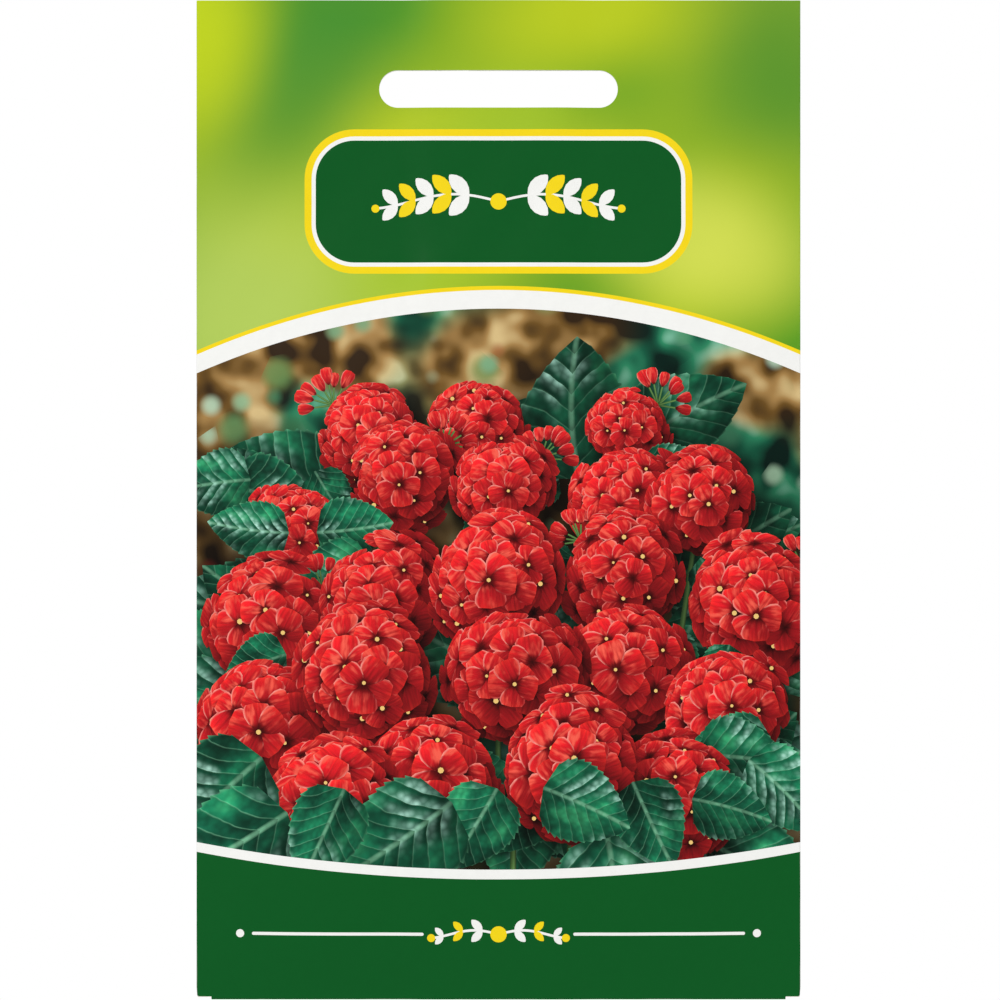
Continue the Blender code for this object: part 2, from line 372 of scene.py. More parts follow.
frontPrint = {
    "archMiddle": -32.0,
    "archDrop": 8.5,  # how much lower the arch is at the folds
    "archRule": 2.5,
    "archLine": 0.55,
    "bandMiddle": -108.2,
    "bandRise": 3.4,  # how much higher the band is at the folds
    "bandRule": 1.3,
    "bleed": 1.6,  # how far the front's print runs round the side folds
    "plateMiddle": (0, -17.6),
    "plateSize": (49, 16.4),
    "plateCorner": 5.2,
    "plateRule": 0.55,
    "plateRim": 1.5,
    "plateSprig": (33, 5),  # length, and pairs of leaves on each stem
    "bandSprig": (18, 3),
    "bandSprigDrop": 7.4,
    "bandLine": (21.5, 23, 0.42),  # middle, length and width
    "bandDot": (34.6, 0.55),  # middle and radius
}
halfPrint = sideFold + foldRun + frontPrint["bleed"]
acrossPrint = np.linspace(-halfPrint, halfPrint, 49)


def archAt(x):
    return frontPrint["archMiddle"] - frontPrint["archDrop"] * (x / sideFold) ** 2


def bandAt(x):
    return frontPrint["bandMiddle"] + frontPrint["bandRise"] * (x / sideFold) ** 2


# The strip between two heights, each a value or one for every station across
def strip(low, high, across=acrossPrint):
    low, high = (np.broadcast_to(edge, across.shape) for edge in (low, high))
    return np.concatenate([np.stack([across, low], -1), np.stack([across, high], -1)[::-1]])


# A rectangle with quarter-round corners
def plate(middle, size, corner, grow=0.0):
    turn = np.linspace(0, math.pi / 2, 16)
    reach = np.array(size) / 2 + grow
    radius = corner + grow
    corners = []
    for quarter, sign in enumerate(((1, 1), (-1, 1), (-1, -1), (1, -1))):
        angle = turn + quarter * math.pi / 2
        corners.append(sign * (reach - radius) + radius * np.stack([np.cos(angle), np.sin(angle)], -1))
    return np.concatenate(corners) + middle


def disc(middle, radius, points=24):
    turn = np.linspace(0, 2 * math.pi, points + 1)[:-1]
    return np.stack([np.cos(turn), np.sin(turn)], -1) * radius + middle


# Three shapes that the slot makes in the flat sheet: through the front and through each wing
def slotOutlines():
    half = sheet["slotHeight"] / 2
    straight = sheet["slotWidth"] / 2 - half
    turn = np.linspace(-math.pi / 2, math.pi / 2, 25)
    end = np.stack([straight + half * np.cos(turn), half * np.sin(turn) - half], -1)
    across = np.linspace(straight, -straight, 20)[1:-1]
    upper = np.stack([across, np.zeros(len(across))], -1)
    outline = np.concatenate([end, upper, end[::-1] * (-1, 1), (upper - (0, 2 * half))[::-1]])
    return [outline + (offset, 0) for offset in (0, backMiddle, -backMiddle)]


picture = {
    "draw": 23,
    "rows": (  # height, half spread, count, radius of the heads
        (-46.5, 15, 3, 6.0),
        (-56.0, 29, 5, 7.2),
        (-67.5, 32, 5, 8.5),
        (-81.0, 31, 5, 9.5),
        (-95.5, 24, 4, 9.2),
    ),
    "backLeaves": 46,
    "rowLeaves": 9,  # drawn over each row of heads but the last
    "frontLeaves": 13,
    "leafLength": (12, 21),
    "leafShape": (0.33, 0.46),  # half width over length
    "half": 43,  # how far across leaves are rooted
    "backRoots": (-52, -58, 0.8),  # height of the first, how far on the last is, and the power they crowd by
    "backMiddle": 84,  # how far down the leaves behind point away from
    "shift": 2.6,  # how far a head is moved at random
    "sag": 0.005,  # how much lower heads are to the sides, by x^2
    "stalk": (0.86, 26, 0.42),  # foot's share of x, drop and half width
    "sizes": (0.88, 1.12),
    "budShare": 0.45,
    "budRows": -75,  # only rows above this height have buds
    "budSpray": (0.7, 0.55, 4.6, 0.6),  # place across and up over the head's size, size, and lean
    "frontRoots": (-98, 0.004),
}


# The flower bed: leaves behind, rows of heads from back to front with leaves between, and leaves in front
def drawPicture():
    draw = np.random.default_rng(picture["draw"])

    def someLeaf(root, angle, size, tone):
        length = size * draw.uniform(*picture["leafLength"])
        addLeaf(root, angle, length, length * draw.uniform(*picture["leafShape"]), tone, draw)

    half, (first, on, power) = picture["half"], picture["backRoots"]
    for number in range(picture["backLeaves"]):
        root = (sway(draw, half), first + on * (number / picture["backLeaves"]) ** power + sway(draw, 4))
        angle = math.atan2(root[1] + picture["backMiddle"], root[0] + sway(draw, 9)) + sway(draw, 0.9)
        someLeaf(root, angle, 0.95, 0.5 + 0.35 * ease(-root[1], 55, 100) + draw.uniform(-0.1, 0.14))
    last, shift, sag = picture["rows"][-1][0], picture["shift"], picture["sag"]
    inward, drop, stalkHalf = picture["stalk"]
    across, up, spray, lean = picture["budSpray"]
    for height, spread, count, radius in picture["rows"]:
        xs = np.linspace(-spread, spread, count)
        places = [(x + sway(draw, shift), height + sway(draw, shift) - sag * x * x) for x in xs]
        for x, z in places:
            addStalk((x * inward, z - drop), (x, z), stalkHalf)
        for number in draw.permutation(count):
            x, z = places[number]
            size = radius * draw.uniform(*picture["sizes"])
            if height > picture["budRows"] and draw.uniform(0, 1) < picture["budShare"]:
                side = draw.choice([-1, 1])
                addBuds((x + side * size * across, z + size * up), spray, math.pi / 2 - side * lean, draw)
            addHead((x, z), size, draw)
        if height > last:
            for _ in range(picture["rowLeaves"]):
                root = (sway(draw, half - 2), height - radius + draw.uniform(-5, 1.5))
                someLeaf(root, -math.pi / 2 + sway(draw, 1.7), 0.66, draw.uniform(0.62, 1.0))
    foot, rise = picture["frontRoots"]
    for number in draw.permutation(picture["frontLeaves"]):
        x = -half + 2 * half * (number + 0.5) / picture["frontLeaves"] + sway(draw, 2)
        outward = math.copysign(1.0, x) * draw.uniform(0.1, 1.5)
        root = (x, foot + draw.uniform(-6, 2.5) + rise * x * x)
        someLeaf(root, -math.pi / 2 + outward, draw.uniform(0.72, 1.05), draw.uniform(0.8, 1.12))


foldColumns = sideFold + np.linspace(0, foldRun, 7)
foldColumns = np.concatenate([-foldColumns[::-1], foldColumns])
bendRows = bottomFold - np.linspace(0, bottomRun, 9)


# Where the sheet has points across it: closer together in the folds
def sheetColumns():
    fold = foldColumns[len(foldColumns) // 2 :]
    front, wing = np.arange(0.9, sideFold - 0.5, 1.8), np.arange(fold[-1] + 2, blankHalf - 1, 2.5)
    half = np.unique(np.concatenate([front, [sheet["flapHalf"]], fold, wing, [blankHalf]]))
    return np.concatenate([-half[::-1], half])


# The flat sheet's outline, clockwise from the top left, with a point at each column and round the bottom fold
def blankOutline():
    columns = sheetColumns()
    flapTip = sheet["flapHalf"] - sheet["flapTaper"]
    flapEnd = bottomFold - bottomRun - (sheet["flapHeight"] - sheet["layerStep"])
    foot = columns[columns >= sheet["flapHalf"]]
    bend = bendRows[1:]
    rightFoot = np.stack([foot[::-1], np.full(len(foot), bottomFold)], -1)
    rightBend = np.stack([np.full(len(bend), sheet["flapHalf"]), bend], -1)
    right = np.concatenate([rightFoot, rightBend, [(flapTip, flapEnd)]])
    topEdge = np.stack([columns, np.full(len(columns), top)], -1)
    return np.concatenate([topEdge, right, right[::-1] * (-1, 1)])


# Inks from the bottom up: what is added later prints over what is under it
def drawFront():
    arch, band, rule = archAt(acrossPrint), bandAt(acrossPrint), frontPrint["archRule"]
    addShape(blankOutline(), "white")
    addShape(strip(band - 2, arch + 1), "ground")
    drawPicture()
    addShape(strip(arch, top + 5), "header")
    addShape(strip(arch + rule, arch + rule + frontPrint["archLine"]), "yellow")
    addShape(strip(arch, arch + rule), "white")
    addShape(strip(bottom - 2 * sheet["flapHeight"], band), "green")
    addShape(strip(band, band + frontPrint["bandRule"]), "white")
    middle, size, corner = frontPrint["plateMiddle"], frontPrint["plateSize"], frontPrint["plateCorner"]
    for grow, ink in ((frontPrint["plateRim"], "yellow"), (frontPrint["plateRule"], "white"), (0, "green")):
        addShape(plate(middle, size, corner, grow), ink)
    addSprig(middle, *frontPrint["plateSprig"])
    low = frontPrint["bandMiddle"] - frontPrint["bandSprigDrop"]
    addSprig((0, low), *frontPrint["bandSprig"])
    lineMiddle, long, wide = frontPrint["bandLine"]
    dotMiddle, radius = frontPrint["bandDot"]
    for side in (-1, 1):
        addShape(plate((side * lineMiddle, low), (long, wide), 0.2), "white")
        addShape(disc((side * dotMiddle, low), radius, 16), "white")


sprig = {
    "wave": 0.03,
    "turns": 0.7,
    "stem": 0.17,
    "leaves": (0.24, 0.82),  # where on a stem the first and the last pair sit
    "leaf": 0.115,
    "taper": (1.1, 0.42),
    "half": 0.27,
    "spread": 0.8,
    "berry": 0.55,
}


# A stem's height: a sine wave along it
def stemWave(length, share):
    return length * sprig["wave"] * np.sin(share * 2 * math.pi * sprig["turns"])


# A plain sprig: from a round middle two wavy stems run out, with leaves in pairs and a berry at the end
def addSprig(middle, length, pairs):
    middle = np.asarray(middle, float)
    half = length / 2
    for side in (-1, 1):
        out, thick = np.linspace(0, 1, 16), (0, sprig["stem"])
        stem = np.stack([side * half * out, stemWave(length, out)], -1)
        addShape(middle + np.concatenate([stem + thick, (stem - thick)[::-1]]), "white")
        for number, share in enumerate(np.linspace(*sprig["leaves"], pairs)):
            big, less = sprig["taper"]
            size = length * sprig["leaf"] * (big - less * share)
            for up in (-1, 1):
                way = toward(math.pi / 2 * (1 - side) + side * up * sprig["spread"])
                matrix = np.stack([way, leftOf(way) * sprig["half"]], -1) * size
                outline = middle + (side * share * half, stemWave(length, share)) + sprigLeaf @ matrix.T
                addShape(outline, "yellow" if number % 2 else "white")
        addShape(disc(middle + stem[-1], sprig["berry"], 14), "yellow")
    addShape(disc(middle, 2 * sprig["berry"], 24), "yellow")


sprigLeaf = bladeOutline(7, 0.8, 0.8)
backMiddle = 2 * sideFold + foldRun  # the flat sheet's s behind the middle of the front
backPrint = {
    "headerFoot": -9.0,
    "line": 0.8,
    "boxes": (  # middle, size, corner and ink of the blank frames
        ((0, -19.5), (66, 13), 2.2, "pale"),
        ((-16.8, -45), (32.4, 32), 1.6, "pale"),
        ((16.8, -45), (32.4, 32), 1.6, "pale"),
    ),
    "rim": 0.28,
    "badges": ((-25.2, -36.0), (-16.8, -36.0), (-8.4, -36.0)),
    "badge": 3.2,
    "sun": 1.5,
    "badgeLeaf": (-2.1, 1.5, 4.2),  # foot, half width and length
    "badgeDrop": (-1.9, 1.35, 3.9),
    "calendar": (-31.5, 31.5, -75.0),  # left, right and top of the twelve months' rows
    "rowStep": 7.6,
    "cell": (5.05, 4.2),
    "cellCorner": 0.5,
    "cellRim": 0.12,
    "sown": ((2, 4), (4, 9), (5, 10)),  # first and last month of each row's bar
    "barInks": ("yellow", "green", "red"),
}


# A shape on the packet's back, given as seen from behind, x from its middle line: it lands on both wings
def addBack(outline, ink):
    for side in (1, -1):
        addShape((side * backMiddle, 0) + np.asarray(outline), ink)


# A blade that stands upright on (x, z + foot)
def upright(blade, middle, foot, half, length):
    return np.array([0, foot]) + middle + blade @ np.array([[0, half], [length, 0]]).T


# The back has a header and blank frames for the grower's notes, with a bar for each job over twelve months
def drawBack():
    across, foot = np.linspace(-sideFold, sideFold, 5), backPrint["headerFoot"]
    addBack(strip(bottom - 1, top + 5, across), "white")
    addBack(strip(foot, top + 5, across), "green")
    addBack(strip(foot - backPrint["line"], foot, across), "yellow")
    for middle, size, corner, ink in backPrint["boxes"]:
        addBack(plate(middle, size, corner, backPrint["rim"]), "green")
        addBack(plate(middle, size, corner), ink)
    sunAt, leafAt, dropAt = backPrint["badges"]
    dropBlade = bladeOutline(10, 0.42, 1.0)
    for middle, sign, ink in (
        (sunAt, disc(sunAt, backPrint["sun"]), "yellow"),
        (leafAt, upright(sprigLeaf, leafAt, *backPrint["badgeLeaf"]), "white"),
        (dropAt, upright(dropBlade, dropAt, *backPrint["badgeDrop"]), "pale"),
    ):
        addBack(disc(middle, backPrint["badge"]), "green")
        addBack(sign, ink)
    left, right, high = backPrint["calendar"]
    size, corner, months = backPrint["cell"], backPrint["cellCorner"], 12
    for row, ((first, last), ink) in enumerate(zip(backPrint["sown"], backPrint["barInks"])):
        for month in range(months):
            at = (left + (month + 0.5) * ((right - left) / months), high - row * backPrint["rowStep"])
            addBack(plate(at, size, corner, backPrint["cellRim"]), "grey")
            addBack(plate(at, size, corner), ink if first <= month <= last else "pale")


drawFront()
drawBack()
print(len(shapes), "shapes drawn and", len(covers), "shadows")


# Points that carry the sheet's curves, in rows over its columns, and rows round the bottom fold
def latticePoints():
    columns, rows = sheetColumns(), np.append(np.arange(bottomFold + 1.2, top, 2.4), bottomFold)
    inside = columns[np.abs(columns) < sheet["flapHalf"]]
    lattices = (columns, rows), (inside, bendRows)
    return np.concatenate([np.stack(np.meshgrid(*axes), -1).reshape(-1, 2) for axes in lattices])


# Cuts the flat sheet into triangles along every outline and along the folds' lines, and says for each which
# shape lies on top, or -1, and which strip of a fold it is in
def cutShapes():
    outlines = [shape["outline"] for shape in shapes] + slotOutlines()
    starts = np.concatenate([[0], np.cumsum([len(outline) for outline in outlines])])
    loops = [list(range(a, b)) for a, b in zip(starts[:-1], starts[1:])]
    lines = [[(column, bottomFold), (column, top)] for column in foldColumns]
    lines += [[(-sheet["flapHalf"], row), (sheet["flapHalf"], row)] for row in bendRows]
    points = np.concatenate(outlines + lines + [latticePoints()])
    edges = [(int(number), int(number) + 1) for number in range(starts[-1], starts[-1] + 2 * len(lines), 2)]
    found = delaunay_2d_cdt([Vector(point) for point in points.tolist()], edges, loops, 0, 1e-5)
    spots, corners = np.array([tuple(spot) for spot in found[0]]), np.array(found[2])
    onTop = np.array([max(owners) if 0 in owners else -1 for owners in found[5]])
    onTop[onTop >= len(shapes)] = -1
    middles = spots[corners].mean(axis=1)
    zone = np.digitize(middles[:, 0], foldColumns) * len(lines) + np.digitize(middles[:, 1], bendRows[::-1])
    return spots, corners, onTop, np.where(onTop < 0, -1, zone)


# The edges between triangles whose shape or strip differ, as pairs of points
def edgesBetween(corners, shape, zone):
    edges = np.sort(np.concatenate([corners[:, [0, 1]], corners[:, [1, 2]], corners[:, [2, 0]]]), axis=1)
    owner = np.tile(shape * (zone.max() + 2) + zone, 3)
    order = np.lexsort((edges[:, 1], edges[:, 0]))
    edges, owner = edges[order], owner[order]
    same = (edges[1:] == edges[:-1]).all(axis=1)
    return edges[:-1][same & (owner[1:] != owner[:-1])]


# Cuts the sheet again along the given edges alone, and looks up each new triangle's shape from its middle
def cutAgain(spots, corners, onTop, edges, lattice):
    used, edges = np.unique(edges, return_inverse=True)
    points = np.concatenate([spots[used], lattice])
    vectors = [Vector(point) for point in points.tolist()]
    found = delaunay_2d_cdt(vectors, edges.reshape(-1, 2).tolist(), [], 0, 1e-6, False)
    newSpots, newCorners = np.array([tuple(spot) for spot in found[0]]), np.array(found[2])
    flat = [Vector((x, y, 0)) for x, y in spots.tolist()]
    old = BVHTree.FromPolygons(flat, corners.tolist())
    middles = newSpots[newCorners].mean(axis=1).tolist()
    hits = [old.ray_cast(Vector((x, y, 1)), Vector((0, 0, -1)))[2] for x, y in middles]
    label = np.array([-1 if hit is None else onTop[hit] for hit in hits])
    kept = label >= 0
    return newSpots, newCorners[kept], label[kept]


inks = ["white", "header", "ground", "leaf", "petal", "stalk", "anther"]
inks += ["yellow", "green", "red", "pale", "grey"]


# One closed sheet: the printed side, the bare side and the cut edges between them. The points go half the
# paper's thickness out from the folded middle along its normal, and half in.
def foldedSheet():
    spots, corners, onTop, zone = cutShapes()
    printed = cutAgain(spots, corners, onTop, edgesBetween(corners, onTop, zone), latticePoints())
    inside = edgesBetween(corners, np.minimum(onTop, 0), zone)
    bare = cutAgain(spots, corners, onTop, inside, latticePoints())
    flats = (printed[0], bare[0])
    half = sheet["paper"] / 2
    points, normals = [], []
    for flat, outward in zip(flats, (half, -half)):
        normal = foldNormal(flat[:, 0], flat[:, 1])
        points.append(foldMiddle(flat[:, 0], flat[:, 1]) + normal * outward)
        normals.append(normal * np.sign(outward))
    first = len(flats[0])
    edges = np.concatenate([printed[1][:, [0, 1]], printed[1][:, [1, 2]], printed[1][:, [2, 0]]])
    _, index, count = np.unique(np.sort(edges, axis=1), axis=0, return_inverse=True, return_counts=True)
    rim = edges[count[index.reshape(-1)] == 1]
    place = {tuple(spot): number for number, spot in enumerate(np.round(flats[1], 4).tolist())}
    opposite = np.array([place[tuple(spot)] for spot in np.round(flats[0][rim.reshape(-1)], 4).tolist()])
    opposite = opposite.reshape(-1, 2) + first
    triangles = [printed[1], bare[1][:, ::-1] + first]
    triangles.append(np.stack([rim[:, 1], rim[:, 0], opposite[:, 0]], -1))
    triangles.append(np.stack([rim[:, 1], opposite[:, 0], opposite[:, 1]], -1))
    print(len(printed[1]), "printed and", len(bare[1]), "bare triangles")
    return flats, np.concatenate(points), np.concatenate(normals), triangles, printed[2]


# How much of its light each spot loses to what is drawn over its shape: every cover takes a share, full under
# its oval's middle and fading out past its rim
def shadeFrom(spots, above):
    left = np.ones(spots.shape[:-1])
    for number, over in enumerate(covers):
        middle = over["centre"] + over["offset"]
        reach = np.abs(over["matrix"]).sum(axis=1) * over["fade"][1]
        near = (above <= number) & (np.abs(spots - middle) < reach).all(axis=-1)
        away = (spots[near] - middle) @ np.linalg.inv(over["matrix"]).T
        left[near] *= 1 - over["depth"] * (1 - ease(np.linalg.norm(away, axis=-1), *over["fade"]))
    return 1 - left


# The flat map: scales, and where the bare side and the row of cut edges go
bake = {
    "printed": 0.0049,
    "room": (1, 18),  # left of the sheet and below its bottom edge, for the flap
    "bare": 0.0013,
    "bareAt": (0.02, 0.77),
    "rimAt": (0.3, 0.8),
    "rimSize": (0.6, 0.004),
}


# The packet's mesh, with each printed shape's own place and light on its corners and a flat map for baking
def makePacket():
    flats, points, normals, triangles, onTop = foldedSheet()
    faces = np.concatenate(triangles)
    mesh = bpy.data.meshes.new("printedPacket")
    mesh.from_pydata(points.tolist(), [], faces.tolist())
    printed, bare = len(triangles[0]), len(triangles[1])

    index = np.full(len(faces), len(inks), np.int32)
    index[:printed] = np.array([inks.index(shape["ink"]) for shape in shapes])[onTop]
    mesh.polygons.foreach_set("material_index", index)

    ofTop = (
        np.array([shape[name] for shape in shapes])[onTop]
        for name in ("origin", "matrix", "light", "above", "bend")
    )
    origin, matrix, light, above, bend = ofTop
    spots = flats[0][triangles[0]]
    place, lit = np.zeros((2, len(faces), 3, 4))
    place[:printed, :, :2] = np.einsum("tij,tcj->tci", np.linalg.inv(matrix), spots - origin[:, None])
    place[:printed, :, 2] = light[:, None, 2]
    place[:printed, :, 3] = bend[:, None]
    lit[:printed] = light[:, None]
    lit[:printed, :, 2] = shadeFrom(spots, above[:, None])
    for name, values in (("printPlace", place), ("printLight", lit)):
        made = mesh.attributes.new(name, "FLOAT_COLOR", "CORNER")
        made.data.foreach_set("color", values.astype(np.float32).ravel())

    flatMap = np.zeros((len(faces), 3, 2))
    left, foot = bake["room"]
    flatMap[:printed] = (flats[0] + (blankHalf + left, -bottom + foot))[triangles[0]] * bake["printed"]
    under = (flats[1] + (blankHalf, -bottom + foot))[triangles[1][:, ::-1] - len(flats[0])]
    flatMap[printed : printed + bare] = under[:, ::-1] * bake["bare"] + bake["bareAt"]
    rim = len(triangles[2])
    step, (wide, high) = np.arange(rim) / rim, bake["rimSize"]
    for number, corners in enumerate((((1, 0), (0, 0), (0, 1)), ((1, 0), (0, 1), (1, 1)))):
        start = printed + bare + number * rim
        for spot, (x, y) in enumerate(corners):
            flatMap[start : start + rim, spot, 0] = bake["rimAt"][0] + x * (wide / rim) + step * wide
            flatMap[start : start + rim, spot, 1] = bake["rimAt"][1] + y * high
    mesh.uv_layers.new(name="OFBake").data.foreach_set("uv", flatMap.astype(np.float32).ravel())

    corners = normals[faces]
    edge = points[faces[printed + bare :]]  # the cut edges are flat
    flat = np.cross(edge[:, 1] - edge[:, 0], edge[:, 2] - edge[:, 0])
    flat /= np.maximum(np.linalg.norm(flat, axis=-1, keepdims=True), 1e-12)
    corners[printed + bare :] = flat[:, None]
    mesh.shade_smooth()
    mesh.normals_split_custom_set(corners.reshape(-1, 3).tolist())
    mesh.transform(Matrix.Scale(0.001, 4))
    made = bpy.data.objects.new("printedPacket", mesh)
    bpy.context.scene.collection.objects.link(made)
    return made


# sRGB hex to linear
def linear(colour):
    parts = [int(colour[place : place + 2], 16) / 255 for place in (1, 3, 5)]
    return (*[part / 12.92 if part <= 0.04045 else ((part + 0.055) / 1.055) ** 2.4 for part in parts], 1)


# Links or sets a node's inputs: values are sockets, constants or hex colours by input
def setInputs(tree, node, values):
    for key, value in values.items():
        if isinstance(value, bpy.types.NodeSocket):
            tree.links.new(value, node.inputs[key])
        else:
            node.inputs[key].default_value = linear(value) if isinstance(value, str) else value


# Adds a node and gives its outputs. Its kind may end in an operation. Its values are listed in the order of
# its inputs or by input, and ramp gives a colour ramp's places and colours.
def addNode(tree, kind, values=(), ramp=(), **settings):
    kind, *operation = kind.split()
    node = tree.nodes.new("ShaderNode" + kind)
    for value in operation:
        node.operation = value
    for name, value in settings.items():
        setattr(node, name, value)
    setInputs(tree, node, values if isinstance(values, dict) else dict(enumerate(values)))
    for number, (place, colour) in enumerate(ramp):
        stop = node.color_ramp.elements[number] if number < 2 else node.color_ramp.elements.new(place)
        stop.position = place
        stop.color = linear(colour)
    return node.outputs


smooth = {"interpolation_type": "SMOOTHSTEP"}


# The product of several values
def product(tree, factors):
    found = factors[0]
    for factor in factors[1:]:
        found = addNode(tree, "Math MULTIPLY", [found, factor])[0]
    return found


# Colours laid over the first, one after another, each by its share from 0 to 1
def layered(tree, colour, *layers):
    for share, over in layers:
        values = {0: share, 6: colour, 7: over}
        colour = addNode(tree, "Mix", values, data_type="RGBA", clamp_factor=True)[2]
    return colour


# What makePacket wrote on the corners under this name: as a vector, as its three parts, and its alpha
def cornerValues(tree, name):
    found = addNode(tree, "Attribute", attribute_name=name)
    return found["Vector"], addNode(tree, "SeparateXYZ", [found["Vector"]]), found["Alpha"]


# A new material with its shader and its place in millimetres
def newFinish(name):
    made = bpy.data.materials.new(name)
    made.use_nodes = True
    tree = made.node_tree
    where = addNode(tree, "TexCoord")["Object"]
    spot = addNode(tree, "Mapping", {"Vector": where, "Scale": (1000, 1000, 1000)})[0]
    return made, tree, tree.nodes["Principled BSDF"], spot


paperFinish = {
    "inputs": ("Roughness", "Coat Weight", "Coat Roughness", "Specular IOR Level"),
    "coated": (0.34, 0.12, 0.14, 0.16),
    "bare": (0.82, 0.0, 0.5, 0.2),
    "fibre": {"coated": 0.012, "bare": 0.10},
    "fibreSize": 0.35,
    "fibreDepth": 0.0001,  # this and the cockle's in metres
    "cockleSize": 7.0,  # the slow waviness of handled paper
    "cockle": 0.06,
    "cockleDepth": 0.0006,
    "mottle": (0.985, 1.01),  # how unevenly a flat ink lies
    "worn": "#e4e1d8",
    "wear": 0.4,  # how much of the ink is rubbed off along the folds at the most
    "wearSize": 6.0,
    "wearSide": 0.14,  # how far the wear reaches in from the side folds and up from the bottom one
    "wearFoot": 0.16,
}


# Offset print on coated paper: a smooth varnish over ink, with fine fibre and slow cockle in the surface.
# Bare paper is rougher, with no varnish. paint gives the ink's colour from a spot, or is a hex colour.
def printMaterial(name, paint, finish="coated"):
    made, tree, shader, spot = newFinish(name)
    if isinstance(paint, str):
        mottle = addNode(tree, "TexNoise", {"Vector": spot, "Scale": 0.9, "Detail": 3.0})[0]
        even = addNode(tree, "MapRange", [mottle, 0.3, 0.7, *paperFinish["mottle"]])[0]
        colour = addNode(tree, "VectorMath SCALE", {0: linear(paint)[:3], "Scale": even})[0]
    else:
        colour = paint(tree, spot)
    parts = addNode(tree, "SeparateXYZ", [spot])
    side = addNode(tree, "Math ABSOLUTE", [parts[0]])[0]
    atSide = addNode(tree, "MapRange", [side, packetHigh[0] - paperFinish["wearSide"], packetHigh[0]])[0]
    atFoot = addNode(tree, "MapRange", [parts[2], bottom + paperFinish["wearFoot"], bottom])[0]
    fold = addNode(tree, "Math MAXIMUM", [atSide, atFoot])[0]
    rubs = addNode(tree, "TexNoise", {"Vector": spot, "Scale": 1 / paperFinish["wearSize"], "Detail": 5.0})[0]
    rubbed = addNode(tree, "MapRange", [rubs, 0.48, 0.66, 0, paperFinish["wear"]])[0]
    colour = layered(tree, colour, (product(tree, [fold, rubbed]), paperFinish["worn"]))
    fine, slow = (
        addNode(tree, "TexNoise", {"Vector": spot, "Scale": 1 / size, "Detail": 2.0})[0]
        for size in (paperFinish["fibreSize"], paperFinish["cockleSize"])
    )
    waves = {"Height": slow, "Strength": paperFinish["cockle"], "Distance": paperFinish["cockleDepth"]}
    cockle = addNode(tree, "Bump", waves)[0]
    strength, depth = paperFinish["fibre"][finish], paperFinish["fibreDepth"]
    grain = {"Height": fine, "Strength": strength, "Distance": depth, "Normal": cockle}
    setInputs(tree, shader, dict(zip(paperFinish["inputs"], paperFinish[finish])))
    setInputs(tree, shader, {"Base Color": colour, "Normal": addNode(tree, "Bump", grain)[0]})
    return made


headerInks = {
    "base": ((0.36, "#5e9f1e"), (0.64, "#b3c922"), (0.5, "#8cb31f")),
    "ovals": (  # middle x and z, half width and height, turn, colour and strength, from the bottom up
        ((-34, -34), (34, 30), 20, "#b6d05c", 0.95),
        ((-24, 2), (16, 34), -32, "#3f8f30", 0.75),
        ((-5, -18), (16, 38), -38, "#9dc42a", 0.7),
        ((13, 8), (30, 14), 10, "#ccd714", 0.75),
        ((40, 2), (24, 30), 12, "#4a8f2a", 0.8),
        ((27, -23), (25, 15), -16, "#dfe65a", 0.75),
        ((-41, 6), (16, 22), 0, "#c2d512", 0.95),
    ),
}


# Out-of-focus greens and yellows that run into each other, each a wide soft oval with no edge
def headerPaint(tree, spot):
    noise = addNode(tree, "TexNoise", {"Vector": spot, "Scale": 0.03, "Detail": 1.0})[0]
    colour = addNode(tree, "ValToRGB", [noise], headerInks["base"])[0]
    for (x, z), (wide, high), turn, ink, strength in headerInks["ovals"]:
        moved = addNode(tree, "VectorMath SUBTRACT", [spot, (x, 0, z)])[0]
        lean = addNode(tree, "Mapping", {"Vector": moved, "Rotation": (0, math.radians(turn), 0)})[0]
        sized = addNode(tree, "Mapping", {"Vector": lean, "Scale": (1 / wide, 0, 1 / high)})[0]
        ball = addNode(tree, "TexGradient", [sized], gradient_type="SPHERICAL")[1]
        soft = addNode(tree, "MapRange", [ball, 0, 1, 0, strength], interpolation_type="SMOOTHERSTEP")[0]
        colour = layered(tree, colour, (soft, ink))
    return colour


groundInks = {
    "earth": ((0.34, "#35230f"), (0.7, "#d9bd84"), (0.46, "#70501f"), (0.57, "#a8824a")),
    "growth": ((0.34, "#04241c"), (0.72, "#7fc0a2"), (0.47, "#0d5a40"), (0.6, "#2b8a62")),
    "blurs": (  # how many to a millimetre, the share left out, and their colours
        (0.15, 0.5, ((0.0, "#0b3d2a"), (1.0, "#4aa37c"), (0.5, "#1d7450"), (0.75, "#6f8f4a"))),
        (0.24, 0.6, (
            (0.0, "#b93a20"), (1.0, "#e6f3e4"), (0.32, "#8d2015"), (0.36, "#3a8c60"), (0.7, "#9cc9a0"),
        )),
    ),
    "lean": (-40, 40, -0.07, 0.07),  # earth gives way to growth from left to right
    "dim": (-46, -66, 1.0, 0.3),  # heights between which it darkens, and by how much
}


